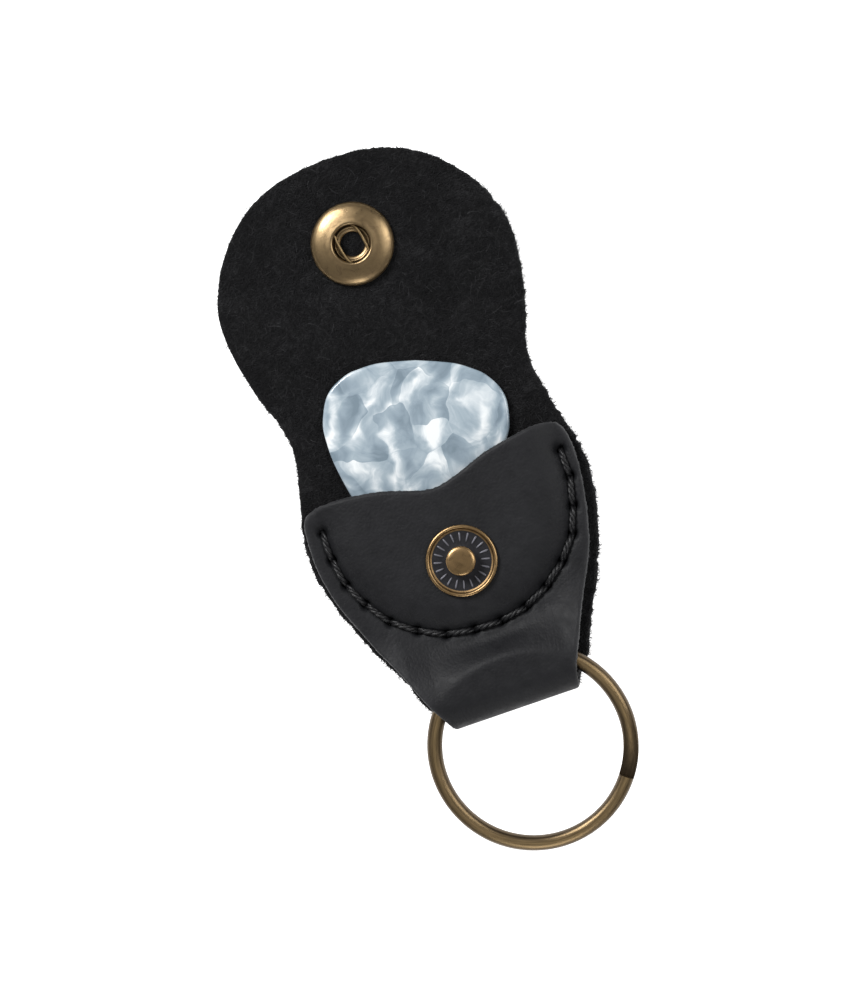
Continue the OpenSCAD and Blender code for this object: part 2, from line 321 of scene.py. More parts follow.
def leather_flesh():
    m, nt, b = mat("leather_flesh", (0.012, 0.012, 0.013), 0.95, spec=0.08, sheen=0.05, sheen_rough=0.55, sheen_tint=(0.75, 0.76, 0.8))
    k = Net(nt)
    v = k.attr("flat")
    tangle = k.noise(v, 0.6, 6, 0.72, 1.8)
    cloud = k.noise(v, 0.16, 3, 0.6, 0.5)
    hairs = k.voronoi(k.scaled(v, (1.0, 1.6, 1)), 1.5, "DISTANCE_TO_EDGE")
    base = k.ramp(k.math("ADD", k.math("MULTIPLY", tangle, 0.62), k.math("MULTIPLY", cloud, 0.38)),
                  [(0.38, (0.0010, 0.0010, 0.0011)), (0.50, (0.0050, 0.0050, 0.0054)), (0.62, (0.0200, 0.0200, 0.0210))])
    k.l(base, b.inputs["Base Color"])
    h = k.math("ADD", tangle, k.math("MULTIPLY", k.mapr(hairs, 0, 0.2, 1, 0), 0.35))
    h = k.math("ADD", h, k.math("MULTIPLY", k.noise(v, 3.5, 4, 0.8), 0.5))
    k.l(k.bump(h, 1.0, 0.0009), b.inputs["Normal"])
    return m


def leather_cut():
    m, nt, b = mat("leather_cut_edge", (0.03, 0.03, 0.033), 0.7, spec=0.3)
    k = Net(nt)
    v = k.attr("flat")
    fibre = k.noise(k.scaled(v, (1, 1, 3.5)), 1.4, 6, 0.8, 0.5)
    base = k.ramp(fibre, [(0.32, (0.012, 0.012, 0.013)), (0.55, (0.036, 0.036, 0.039)), (0.75, (0.085, 0.084, 0.088))])
    k.l(base, b.inputs["Base Color"])
    k.l(k.bump(fibre, 0.6, 0.0003), b.inputs["Normal"])
    return m


def leather_nap():
    m, nt, b = mat("leather_nap_fibres", (0.03, 0.03, 0.032), 0.8, spec=0.15)
    k = Net(nt)
    f = k.attr("shade", "Fac")
    k.l(k.ramp(f, [(0.0, (0.003, 0.003, 0.0033)), (0.5, (0.012, 0.012, 0.0128)), (1.0, (0.055, 0.055, 0.058))]), b.inputs["Base Color"])
    return m


def brass(name, light, dark, rough, stain=0.5, ring_marks=0.5):
    m, nt, b = mat(name, light, rough, metallic=1.0, spec=0.5)
    k = Net(nt)
    v = k.attr("loc")
    sep = k.n("ShaderNodeSeparateXYZ")
    k.l(v, sep.inputs[0])
    rad = k.math("SQRT", k.math("ADD", k.math("POWER", sep.outputs[0], 2.0), k.math("POWER", sep.outputs[1], 2.0)))
    comb = k.n("ShaderNodeCombineXYZ")
    k.l(k.math("MULTIPLY", rad, 9.0), comb.inputs[0])
    k.l(k.math("MULTIPLY", sep.outputs[2], 9.0), comb.inputs[1])
    turned = k.noise(comb.outputs[0], 1.0, 3, 0.7)
    patch = k.noise(v, 0.55, 5, 0.65, 0.8)
    pits = k.noise(v, 6.0, 3, 0.7)
    # this mask darkens the colour and raises roughness: painted shade in hollows, inside parts and under the ball,
    # together with patina
    dirt = k.attr("dirt", "Fac")
    f = k.math("ADD", k.math("MULTIPLY", patch, 0.6), k.math("MULTIPLY", turned, 0.4))
    base = k.ramp(f, [(0.30, tuple(0.5 * (a + c) for a, c in zip(light, dark))), (0.62, light)])
    age = k.math("MULTIPLY", k.mapr(patch, 0.48, 0.72, 0, 1), stain, clamp=True)
    base = k.mix(k.math("MAXIMUM", age, dirt), base, dark)
    k.l(base, b.inputs["Base Color"])
    r = k.math("ADD", k.mapr(patch, 0.3, 0.7, rough - 0.05, rough + 0.1), k.math("MULTIPLY", dirt, 0.3))
    k.l(r, b.inputs["Roughness"])
    h = k.math("ADD", k.math("MULTIPLY", turned, ring_marks), k.math("MULTIPLY", pits, 0.35))
    k.l(k.bump(h, 0.22, 0.00006), b.inputs["Normal"])
    return m


def oxide():
    m, nt, b = mat("brass_blackened", (0.02, 0.02, 0.024), 0.5, metallic=0.6)
    k = Net(nt)
    v = k.attr("loc")
    # rib tops lighter grey-violet: painted highlight
    rib = k.attr("rub", "Fac")
    n = k.noise(v, 2.5, 4, 0.7)
    base = k.mix(k.mapr(n, 0.3, 0.7, 0, 1), (0.010, 0.010, 0.012), (0.022, 0.022, 0.026))
    base = k.mix(rib, base, (0.15, 0.148, 0.17))
    k.l(base, b.inputs["Base Color"])
    return m


def pearloid():
    m, nt, b = mat("pearloid", (0.6, 0.68, 0.75), 0.22, spec=0.5, coat=0.55, coat_rough=0.05)
    k = Net(nt)
    v = k.attr("loc")
    warp = k.n("ShaderNodeTexNoise")
    warp.inputs["Scale"].default_value = 0.10
    warp.inputs["Detail"].default_value = 3
    k.l(v, warp.inputs["Vector"])
    add = k.n("ShaderNodeVectorMath", operation="MULTIPLY_ADD")
    k.l(warp.outputs["Color"], add.inputs[0])
    add.inputs[1].default_value = (9, 9, 0)
    k.l(v, add.inputs[2])
    w = add.outputs[0]
    # flakes that each shade from one side to the other
    cell = k.n("ShaderNodeTexVoronoi", feature="F1")
    cell.inputs["Scale"].default_value = 0.17
    k.l(w, cell.inputs["Vector"])
    diff = k.n("ShaderNodeVectorMath", operation="SUBTRACT")
    k.l(w, diff.inputs[0])
    k.l(cell.outputs["Position"], diff.inputs[1])
    tilt = k.n("ShaderNodeVectorMath", operation="SUBTRACT")
    k.l(cell.outputs["Color"], tilt.inputs[0])
    tilt.inputs[1].default_value = (0.5, 0.5, 0.5)
    dot = k.n("ShaderNodeVectorMath", operation="DOT_PRODUCT")
    k.l(diff.outputs[0], dot.inputs[0])
    k.l(tilt.outputs[0], dot.inputs[1])
    flake = k.mapr(dot.outputs["Value"], -1.0, 1.1, 0, 1)
    wave = k.n("ShaderNodeTexWave", wave_type="BANDS", wave_profile="SIN")
    wave.inputs["Scale"].default_value = 0.05
    wave.inputs["Distortion"].default_value = 14
    wave.inputs["Detail"].default_value = 4
    wave.inputs["Detail Scale"].default_value = 1.4
    k.l(w, wave.inputs["Vector"])
    cloud = k.noise(w, 0.22, 5, 0.6, 1.2)
    f = k.math("ADD", k.math("MULTIPLY", flake, 0.22), k.math("ADD", k.math("MULTIPLY", wave.outputs["Fac"], 0.26), k.math("MULTIPLY", cloud, 0.62)))
    base = k.ramp(f, [(0.30, (0.17, 0.225, 0.27)), (0.45, (0.26, 0.325, 0.38)), (0.57, (0.34, 0.41, 0.46)), (0.68, (0.50, 0.56, 0.60)), (0.80, (0.78, 0.81, 0.82))])
    k.l(base, b.inputs["Base Color"])
    k.l(k.bump(cloud, 0.05, 0.0002), b.inputs["Normal"])
    return m


def waxed_thread():
    m, nt, b = mat("waxed_thread", (0.02, 0.02, 0.022), 0.45, spec=0.35, coat=0.12, coat_rough=0.3)
    k = Net(nt)
    v = k.attr("loc")
    n = k.noise(v, 4.0, 4, 0.7)
    k.l(k.ramp(n, [(0.3, (0.0022, 0.0022, 0.0027)), (0.6, (0.005, 0.005, 0.006)), (0.8, (0.020, 0.020, 0.023))]), b.inputs["Base Color"])
    k.l(k.bump(k.noise(k.scaled(v, (1, 1, 1)), 9.0, 3, 0.7), 0.4, 0.0001), b.inputs["Normal"])
    return m


def ring_metal():
    m, nt, b = mat("ring_antique", (0.42, 0.33, 0.22), 0.33, metallic=1.0)
    k = Net(nt)
    v = k.attr("loc")
    long = k.noise(k.scaled(v, (0.12, 1.6, 1.6)), 1.6, 5, 0.7, 0.2)
    patch = k.noise(v, 0.22, 4, 0.65, 0.6)
    pits = k.noise(v, 5.0, 3, 0.7)
    # bright brass along the ring's crest: worn metal with a painted highlight
    worn_and_highlight = k.attr("rub", "Fac")
    dark = k.ramp(k.math("ADD", k.math("MULTIPLY", long, 0.6), k.math("MULTIPLY", patch, 0.4)),
                  [(0.3, (0.050, 0.037, 0.025)), (0.55, (0.085, 0.062, 0.038)), (0.75, (0.14, 0.10, 0.058))])
    base = k.mix(k.math("MULTIPLY", worn_and_highlight, k.mapr(long, 0.3, 0.62, 0.55, 1.0), clamp=True), dark, (0.47, 0.33, 0.165))
    k.l(base, b.inputs["Base Color"])
    k.l(k.mapr(long, 0.3, 0.7, 0.26, 0.44), b.inputs["Roughness"])
    k.l(k.bump(k.math("ADD", long, k.math("MULTIPLY", pits, 0.4)), 0.25, 0.00006), b.inputs["Normal"])
    return m


M = {"grain": leather_grain(), "flesh": leather_flesh(), "cut": leather_cut(), "nap": leather_nap(),
     "brass": brass("antique_brass", (0.36, 0.255, 0.135), (0.08, 0.055, 0.032), 0.30, 0.7, 1.0),
     "rim": brass("antique_brass_rim", (0.40, 0.262, 0.125), (0.08, 0.05, 0.026), 0.3, 0.6, 0.4),
     "inner": brass("brass_inside", (0.42, 0.30, 0.15), (0.06, 0.045, 0.03), 0.35, 0.6, 0.3),
     "oxide": oxide(), "pearl": pearloid(), "thread": waxed_thread(), "ring": ring_metal()}


# ------------------------------------------------------------------ mesh helpers
def make(name, verts, faces, mats, face_mat=None, attrs=None, sharp=None, body=None, smooth_faces=True):
    me = bpy.data.meshes.new(name)
    me.from_pydata((np.asarray(verts, float) * MM).tolist(), [], [list(map(int, f)) for f in faces])
    for m in mats:
        me.materials.append(m)
    if face_mat is not None:
        me.polygons.foreach_set("material_index", np.asarray(face_mat, np.int32))
    if smooth_faces:
        me.polygons.foreach_set("use_smooth", np.ones(len(me.polygons), bool))
    for key, val in (attrs or {}).items():
        val = np.asarray(val, np.float32)
        if val.ndim == 2:
            a = me.attributes.new(key, "FLOAT_VECTOR", "POINT")
            a.data.foreach_set("vector", val.ravel())
        else:
            a = me.attributes.new(key, "FLOAT", "POINT")
            a.data.foreach_set("value", val)
    if sharp:
        a = me.attributes.get("sharp_edge") or me.attributes.new("sharp_edge", "BOOLEAN", "EDGE")
        ev = np.zeros(len(me.edges) * 2, np.int32)
        me.edges.foreach_get("vertices", ev)
        ev = np.sort(ev.reshape(-1, 2), 1)
        s = {tuple(sorted(e)) for e in sharp}
        a.data.foreach_set("value", np.array([tuple(e) in s for e in ev.tolist()], bool))
    me.update()
    me.validate()
    o = bpy.data.objects.new(name, me)
    bpy.context.scene.collection.objects.link(o)
    if body:
        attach(o, body)
    return o


def lathe(profile, n=96, closed=True):
    """Turns a profile of (r, z) round Z. Returns verts, faces and each vertex's place along the profile."""
    profile = np.array(profile, float)
    verts, faces, idx = [], [], []
    a = np.linspace(0, 2 * np.pi, n, endpoint=False)
    rows = []
    for i, (r, z) in enumerate(profile):
        if r < 1e-6:
            rows.append([len(verts)])
            verts.append((0, 0, z))
            idx.append(i)
        else:
            rows.append(list(range(len(verts), len(verts) + n)))
            verts += [(r * math.cos(t), r * math.sin(t), z) for t in a]
            idx += [i] * n
    m = len(profile)
    for i in range(m if closed else m - 1):
        p, q = rows[i], rows[(i + 1) % m]
        if len(p) == 1 and len(q) == 1:
            continue
        for k in range(n):
            k2 = (k + 1) % n
            if len(p) == 1:
                faces.append((p[0], q[k2], q[k]))
            elif len(q) == 1:
                faces.append((p[k], p[k2], q[0]))
            else:
                faces.append((p[k], p[k2], q[k2], q[k]))
    return np.array(verts), faces, np.array(idx)


def join(parts):
    """Parts of (verts, faces, material index, attrs) as one."""
    V, F, Mi, A = [], [], [], {}
    off = 0
    keys = sorted({k for p in parts for k in p[3]})
    for v, f, m, at in parts:
        v = np.asarray(v, float)
        V.append(v)
        F += [tuple(i + off for i in q) for q in f]
        Mi += ([m] * len(f)) if isinstance(m, int) else list(m)
        for k in keys:
            if k in at:
                A.setdefault(k, []).append(np.asarray(at[k], float))
            else:
                vec = any(np.ndim(p[3].get(k, 0)) == 2 for p in parts)
                A.setdefault(k, []).append(np.zeros((len(v), 3)) if vec else np.zeros(len(v)))
        off += len(v)
    return np.vstack(V), F, Mi, {k: np.concatenate(a) for k, a in A.items()}


# ------------------------------------------------------------------ how the flat strip lies in space
def seam_zone(x, y):
    """Distance from the seam line, whether a point lies inside the pocket, and the seam's height at x."""
    p = np.stack([x, y], 1)
    arms = np.vstack([[[SEAM_X - SEAM_A, 22]], seam, [[SEAM_X + SEAM_A, 22]]])
    d = seg_dist(p, arms)
    dx = np.abs(x - SEAM_X)
    u = np.clip(dx / SEAM_A, 0, 1)
    low = SEAM_TOP - SEAM_B * (1 - u ** (2 / 0.96)) ** 0.5
    return d, (dx < SEAM_A) & (y > low), low, dx


def front_side(x, y, grain):
    """Height of one side of the front leather: pressed down at the seam, lifted over the ring and over the pick."""
    d, inn, low, dx = seam_zone(x, y)
    if grain:
        z = 4.04 + np.where(inn, 1.62 * (1 - np.exp(-(d / 2.3) ** 1.5)), 0)
    else:
        z = 2.04 + np.where(inn, 1.64 * (1 - np.exp(-d / 1.25)), 0)
    z = z + np.where(inn, 0.22 * smooth((y - 10.5) / 4) * np.exp(-d / 3), 0)
    rx = np.clip(np.abs(x - RING_X), 0, 11.0)
    y0 = np.maximum(RING_Y + np.sqrt(15.0 ** 2 - rx ** 2) - 1.75, -18.3)
    y1 = np.minimum(np.where(dx < SEAM_A, low - (1.3 if grain else 0.7), -6.0), -6.0)
    f = smooth((y - y0) / np.maximum(y1 - y0, 0.5))
    return np.where(inn, z, z + 3.36 * (1 - f))


def seam_press(x, y, side):
    """How deep the stitches pull into the leather."""
    p = np.stack([x, y], 1)
    out = np.zeros(len(x))
    near = (np.abs(x) < 20.5) & (y < 13) & (y > -13)
    q = p[near]
    if len(q):
        d = seg_dist(q, HOLES)
        g = 0.30 * np.exp(-(d / 0.75) ** 2) + 0.10 * np.exp(-(d / 1.6) ** 2)
        hd = np.min(np.linalg.norm(q[:, None] - HOLES[None], axis=2), axis=1)
        g = g + 0.30 * np.exp(-(hd / 0.95) ** 2) + 1.0 * np.exp(-(hd / 0.70) ** 4)
        out[near] = g
    return out


def theta(y):
    d = math.radians(1.0)
    return d * (smooth((y - Y1 + H) / (2 * H)) + smooth((y - Y2 + H) / (2 * H)) + smooth((y - Y3 + H) / (2 * H)))


YG = np.linspace(10, 64, 2161)
TH = theta(YG)
ZG = 2.0 + np.concatenate([[0], np.cumsum(0.5 * (np.sin(TH[1:]) + np.sin(TH[:-1])) * np.diff(YG))])
YY = 10 + np.concatenate([[0], np.cumsum(0.5 * (np.cos(TH[1:]) + np.cos(TH[:-1])) * np.diff(YG))])


def place(x, s, w, push=0.0):
    """The strip's point at x across, s along and w through (0 smooth side, 1 flesh side), with its outward lift push in mm."""
    x, s, w = (np.asarray(v, float) for v in (x, s, w))
    push = np.broadcast_to(np.asarray(push, float), x.shape)
    out = np.zeros((len(x), 3))
    sgn = np.where(w >= 0.5, 1.0, -1.0)
    back = s >= FOLD_C
    # back, bend and flap
    th = np.interp(s, YG, TH, left=0.0)
    yc = np.where(s > 10, np.interp(s, YG, YY), s)
    zc = np.where(s > 10, np.interp(s, YG, ZG), 2.0)
    off = (w - 1) * T + sgn * push
    out[back] = np.stack([x, yc - np.sin(th) * off, zc + np.cos(th) * off], 1)[back]
    fold = (s < FOLD_C) & (s > FRONT_S)
    a = (FOLD_C - s) / R_N
    rho = R_OUT - T * w - sgn * push
    out[fold] = np.stack([x, FOLD_C - rho * np.sin(a), FOLD_Z - rho * np.cos(a)], 1)[fold]
    fr_ = s <= FRONT_S
    if fr_.any():
        xf, yf, wf = x[fr_], FOLD_C + (FRONT_S - s[fr_]), w[fr_]
        zf = front_side(xf, yf, False)
        zg = front_side(xf, yf, True) - seam_press(xf, yf, 0)
        z = zg + (zf - zg) * wf - sgn[fr_] * push[fr_]
        out[fr_] = np.stack([xf, yf, z], 1)
    return out


def fuzz_amount(p):
    x, y = p
    if y > 30:        # the flap: ragged on the right, clean on the upper left
        if x > 0:
            return 4.0 + 9.0 * float(np.clip((x - 10) / 8, 0, 1)) * float(np.clip((52 - y) / 8, 0, 1))
        return 1.2 + 4.0 * float(np.clip((36 - y) / 5, 0, 1))
    if x > 0:
        return 12.0 if y < 12 else 8.0
    return 12.0 if y < 12 else 7.0


def panel(name, poly, cuts, step=0.5, r_edge=0.5, extra=None, relief=None, wall_noise=0.05):
    """A leather panel from its closed outline in the flat strip. cuts tests whether an outline point lies on a parting line, which stays square."""
    poly = np.asarray(poly, float)
    loop = resample(poly, 0.32, closed=True)
    is_cut = cuts(loop)
    t0 = np.roll(loop, -1, 0) - np.roll(loop, 1, 0)
    t0 /= np.linalg.norm(t0, axis=1)[:, None]
    n0_ = np.stack([-t0[:, 1], t0[:, 0]], 1)
    rag = np.array([0.0 if p[1] < FRONT_S + 8 else min(fuzz_amount(p), 9.0) / 9.0 for p in loop])
    loop = loop + n0_ * (rag * (0.13 * hash_noise(loop, 0.9, 21) + 0.09 * hash_noise(loop, 0.45, 22)) + 0.05 * hash_noise(loop, 3.0, 23))[:, None]
    # keep the corners of parting lines exact
    real = []
    run = []
    nxt = np.roll(loop, -1, 0)
    cut_seg = is_cut & np.roll(is_cut, -1)
    segs = [(a, b) for a, b, c in zip(loop, nxt, cut_seg) if not c]
    A, B = np.array([s[0] for s in segs]), np.array([s[1] for s in segs])

    def dist_real(p):
        out = np.full(len(p), 1e9)
        for a, b in zip(A[::1], B[::1]):
            d = b - a
            t = np.clip(((p - a) @ d) / max(d @ d, 1e-12), 0, 1)
            q = p - a - t[:, None] * d
            out = np.minimum(out, (q * q).sum(1))
        return np.sqrt(out)

    # normals of the loop, pointing inwards
    tang = np.roll(loop, -1, 0) - np.roll(loop, 1, 0)
    tang /= np.linalg.norm(tang, axis=1)[:, None]
    area = 0.5 * np.sum(loop[:, 0] * nxt[:, 1] - nxt[:, 0] * loop[:, 1])
    inw = np.stack([-tang[:, 1], tang[:, 0]], 1) * (1 if area > 0 else -1)
    pts = [loop]
    for d in (0.07, 0.19, 0.34, 0.52, 0.85):
        q = loop + inw * d
        q = q[~is_cut]
        q = q[inside(q, loop)]
        dr = dist_real(q)
        pts.append(q[dr > d * 0.93])
    lo, hi = loop.min(0), loop.max(0)
    gx = np.arange(lo[0], hi[0], step)
    gy = np.arange(lo[1], hi[1], step * 0.87)
    grid = np.array([(x + (step / 2 if j % 2 else 0), y) for j, y in enumerate(gy) for x in gx])
    grid = grid + rng.normal(0, step * 0.06, grid.shape)
    grid = grid[inside(grid, loop)]
    all_d = seg_dist(grid, loop, closed=True)
    dr = dist_real(grid)
    grid = grid[(all_d > step * 0.55) & ((dr > 1.1) | (dr > 1e8))]
    if extra is not None and len(extra):
        ex = extra[inside(extra, loop)]
        ex = ex[seg_dist(ex, loop, closed=True) > 1.0]
        from_ex = np.full(len(grid), 1e9)
        for i in range(0, len(ex), 400):
            from_ex = np.minimum(from_ex, np.linalg.norm(grid[:, None] - ex[None, i:i + 400], axis=2).min(1))
        grid = grid[from_ex > 0.33]
        pts.append(ex)
    pts.append(grid)
    P = np.vstack(pts)
    n0 = len(loop)
    edges = [(i, (i + 1) % n0) for i in range(n0)]
    co, _, tris, orig, _, _ = delaunay_2d_cdt([Vector(p) for p in P.tolist()], edges, [], 1, 1e-5, True)
    co = np.array([(c[0], c[1]) for c in co])
    new_of = {}
    for i, o in enumerate(orig):
        for j in o:
            new_of[j] = i
    loop_i = [new_of[i] for i in range(n0)]
    tris = [t for t in tris if len(t) == 3]
    mids = np.array([co[list(t)].mean(0) for t in tris])
    tris = [t for t, ok in zip(tris, inside(mids, co[loop_i])) if ok]
    d = dist_real(co)
    e = np.where(d < r_edge, (r_edge - np.sqrt(np.maximum(r_edge ** 2 - (r_edge - np.minimum(d, r_edge)) ** 2, 0))) / T, 0)
    x, s = co[:, 0], co[:, 1]
    push = np.zeros(len(co)) if relief is None else relief(x, s)
    top = place(x, s, 1 - e, push)
    bot = place(x, s, 0 + e, 0.0)
    m = len(co)
    verts = [top, bot]
    flat = [np.stack([x, s, np.full(m, 2.0)], 1), np.stack([x, s, np.zeros(m)], 1)]
    tri = np.array(tris)
    c = co[tri]
    ar = (c[:, 1, 0] - c[:, 0, 0]) * (c[:, 2, 1] - c[:, 0, 1]) - (c[:, 2, 0] - c[:, 0, 0]) * (c[:, 1, 1] - c[:, 0, 1])
    tri = np.where((ar < 0)[:, None], tri[:, ::-1], tri)
    faces = [tuple(t) for t in tri] + [tuple(t[::-1] + m) for t in tri]
    fm = [0] * len(tri) + [1] * len(tri)
    # the wall of the cut edge, in four rows
    lx, ls = co[loop_i, 0], co[loop_i, 1]
    el_ = e[loop_i]
    rows = [loop_i]
    base = 2 * m
    cutv = cuts(co[loop_i])
    for k in (1, 2, 3):
        f = k / 4
        w = (1 - el_) * (1 - f) + el_ * f
        jit = np.where(cutv, 0, rng.normal(0, wall_noise, len(lx)) + 0.02)
        px = lx - inw[:, 0] * jit
        ps = ls - inw[:, 1] * jit
        verts.append(place(px, ps, w))
        flat.append(np.stack([px, ps, 2 * w], 1))
        rows.append(list(range(base, base + len(lx))))
        base += len(lx)
    rows.append([i + m for i in loop_i])
    sgn = 1 if area > 0 else -1
    sharp = []
    for r0, r1 in zip(rows[:-1], rows[1:]):
        for i in range(n0):
            j = (i + 1) % n0
            q = (r0[i], r1[i], r1[j], r0[j]) if sgn > 0 else (r0[i], r0[j], r1[j], r1[i])
            faces.append(q)
            fm.append(2)
    for i in range(n0):
        j = (i + 1) % n0
        if cutv[i] and cutv[j]:
            sharp += [(rows[0][i], rows[0][j]), (rows[-1][i], rows[-1][j])]
    V = np.vstack(verts)
    FL = np.vstack(flat)
    rub = np.zeros(len(V))
    # grain side lighter near its outline: rubbed wear with a painted highlight
    rub[m:2 * m] = np.exp(-(d / 0.45) ** 2) * 0.5 * (0.6 + 0.4 * hash_noise(co, 1.1, 3))
    return V, faces, fm, {"flat": FL, "rub": rub, "shade": np.zeros(len(V))}, sharp, co, loop, inw, is_cut


def nap(count_fn, region, density, w_side, length, rise, seed, width=0.045):
    """Short curled fibres on the flesh side: region gives candidate points (x, s)."""
    g = np.random.default_rng(seed)
    lo, hi = region.min(0), region.max(0)
    n = int((hi[0] - lo[0]) * (hi[1] - lo[1]) * density)
    p = np.stack([g.uniform(lo[0], hi[0], n), g.uniform(lo[1], hi[1], n)], 1)
    p = p[inside(p, region)]
    p = p[count_fn(p)]
    n = len(p)
    ang = g.uniform(0, 2 * np.pi, n) * 0.75 + hash_noise(p, 5.0, 9) * 2.2
    curl = g.normal(0, 0.9, n)
    L = length * g.uniform(0.5, 1.5, n)
    up = rise * g.uniform(0.4, 1.6, n)
    wd = width * g.uniform(0.6, 1.4, n)
    K = 5
    V = []
    FLT = []
    cx, cy = p[:, 0].copy(), p[:, 1].copy()
    for k in range(K):
        t = k / (K - 1)
        h = up * np.sin(np.pi * (0.12 + 0.8 * t)) - 0.02
        a = ang + curl * t
        wk = wd * (1 - 0.75 * t)
        for sd in (-1, 1):
            xx = cx - np.sin(a) * wk * 0.5 * sd
            yy = cy + np.cos(a) * wk * 0.5 * sd
            V.append(place(xx, yy, np.ones(n) * w_side, h))
            FLT.append(np.stack([xx, yy, np.full(n, 2.3)], 1))
        cx = cx + np.cos(a) * L / (K - 1)
        cy = cy + np.sin(a) * L / (K - 1)
    V = np.stack(V, 1).reshape(-1, 3)
    FLT = np.stack(FLT, 1).reshape(-1, 3)
    F = []
    for i in range(n):
        b = i * 2 * K
        for k in range(K - 1):
            F.append((b + 2 * k, b + 2 * k + 1, b + 2 * k + 3, b + 2 * k + 2))
    sh = np.repeat(np.clip(g.beta(1.3, 3.2, n), 0, 1), 2 * K)
    return V, F, 3, {"flat": FLT, "shade": sh}


def fringe(loop, inw, amount, seed, length=0.55, width=0.07):
    """Loose fibres that stand out of the cut edge. amount(point) gives how many per mm there."""
    g = np.random.default_rng(seed)
    a, b = loop, np.roll(loop, -1, 0)
    V, FLT, F, SH = [], [], [], []
    K = 5
    base = 0
    for i in range(len(loop)):
        seg = np.linalg.norm(b[i] - a[i])
        k0 = g.poisson(amount(a[i]) * seg)
        for _ in range(k0):
            t = g.random()
            p = a[i] * (1 - t) + b[i] * t
            out = -inw[i]
            ang = math.atan2(out[1], out[0]) + g.normal(0, 0.75)
            curl = g.normal(0, 1.2)
            L = length * g.uniform(0.35, 1.7)
            w0 = g.uniform(0.1, 1.0)
            dw = g.normal(0, 0.18)
            wd = width * g.uniform(0.6, 1.5)
            p = p - out * 0.08
            for k in range(K):
                f = k / (K - 1)
                aa = ang + curl * f
                wk = wd * (1 - 0.8 * f)
                for sd in (-1, 1):
                    V.append((p[0] - math.sin(aa) * wk * 0.5 * sd, p[1] + math.cos(aa) * wk * 0.5 * sd, w0 + dw * f))
                p = p + np.array([math.cos(aa), math.sin(aa)]) * L / (K - 1)
            for k in range(K - 1):
                F.append((base + 2 * k, base + 2 * k + 1, base + 2 * k + 3, base + 2 * k + 2))
            base += 2 * K
            SH += [float(np.clip(g.beta(1.2, 3.0), 0, 1))] * (2 * K)
    V = np.array(V).reshape(-1, 3)
    W = place(V[:, 0], V[:, 1], np.clip(V[:, 2], 0.02, 1.12))
    return W, F, 3, {"flat": np.stack([V[:, 0], V[:, 1], 2 * V[:, 2]], 1), "shade": np.array(SH)}


def on_line(v):
    return lambda p: np.any([np.abs(p[:, 1] - y) < 1e-4 for y in v], axis=0) if v else np.zeros(len(p), bool)


def edge_at(line, y):
    return float(np.interp(y, line[:, 1], line[:, 0]))


def strip_outline(y0, y1):
    """The back's outline between two parting lines, or up to the flap's round end."""
    r = er[(er[:, 1] > y0 + 1e-6) & (er[:, 1] < y1 - 1e-6)]
    l = el[(el[:, 1] > y0 + 1e-6) & (el[:, 1] < y1 - 1e-6)][::-1]
    pts = [[edge_at(er, y0), y0]] + r.tolist()
    pts += [[edge_at(er, y1), y1], [edge_at(el, y1), y1]] if y1 < 60 else [[0, 60.4]]
    pts += l.tolist() + [[edge_at(el, y0), y0]]
    return pts


def rag(poly, amp, seed):
    """Returns the cut outline as it is."""
    return poly


def loop_with_line(poly, lines):
    """Returns the closed outline as it is."""
    return poly


def square_line(x0, x1, y):
    n = int(round(abs(x1 - x0) / 0.4))
    return [[x0 + (x1 - x0) * k / n, y] for k in range(n + 1)]


def suede_relief(x, s):
    p = np.stack([x, s], 1)
    return 0.10 * hash_noise(p, 1.5, 1) + 0.04 * hash_noise(p, 0.8, 2) + 0.07 * hash_noise(p, 4.5, 5)


def no_relief_near(lines):
    def f(x, s):
        r = suede_relief(x, s)
        for y in lines:
            r = r * smooth(np.abs(s - y) / 0.8)
        return r
    return f


# --- one strap: flap, bend, back, fold and pocket front
BEND_0, BEND_1 = C0, C3
def strap_piece(name, poly, lines, a, start, end, density=10.0, seed=1, extra=None, bare=None):
    V, F, fm, at, sharp, co, loop, inw, is_cut = panel(name, poly, on_line(lines), extra=extra, relief=mixed_relief(lines))
    parts = [(V, F, fm, at)]
    reg = loop
    test = (lambda p: np.ones(len(p), bool)) if bare is None else bare
    parts.append(nap(test, reg, density, 1.0, 0.85, 0.07, seed))
    parts.append(nap(test, reg, density * 0.25, 1.0, 1.5, 0.13, seed + 50, 0.05))
    amount = (lambda p: 0.0 if any(abs(p[1] - y) < 0.02 for y in lines) or p[1] < FRONT_S + 3 else fuzz_amount(p))
    parts.append(fringe(loop, inw, amount, seed + 7))
    V, F, Mi, A = join(parts)
    o = make(name, V, F, [M["flesh"], M["grain"], M["cut"], M["nap"]], Mi, A, sharp)
    if a:
        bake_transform(o)
    return o


def mixed_relief(lines):
    base = no_relief_near(lines)

    def f(x, s):
        return np.where(s > 9, base(x, s), 0)
    return f


def rest_point(s):
    p = place(np.array([0.0]), np.array([s]), np.array([1.0]))[0] * MM
    return tuple(float(v) for v in p)


# fold and front in the flat strip
front_pts = [[x, FRONT_S - (y - FOLD_C)] for x, y in fr]
right_side = [[edge_at(er, C1), C1]] + er[(er[:, 1] < C1 - 1e-6) & (er[:, 1] > -18.2)][::-1].tolist()
right_side += curve([[12.0, -18.6], [11.0, -19.6], [10.25, -20.6], [9.8, -22.0], [9.75, -23.4], [10.0, -25.2], [10.5, FRONT_S + 0.2]], 4).tolist()
left_side = [[edge_at(el, C1), C1]] + el[(el[:, 1] < C1 - 1e-6) & (el[:, 1] > -18.2)][::-1].tolist()
left_side += curve([[-11.8, -18.6], [-10.8, -19.6], [-9.9, -20.6], [-9.2, -22.0], [-9.1, -23.4], [-9.6, -25.2], [-10.6, FRONT_S + 0.2]], 4).tolist()
body_poly = right_side + front_pts + left_side[::-1]

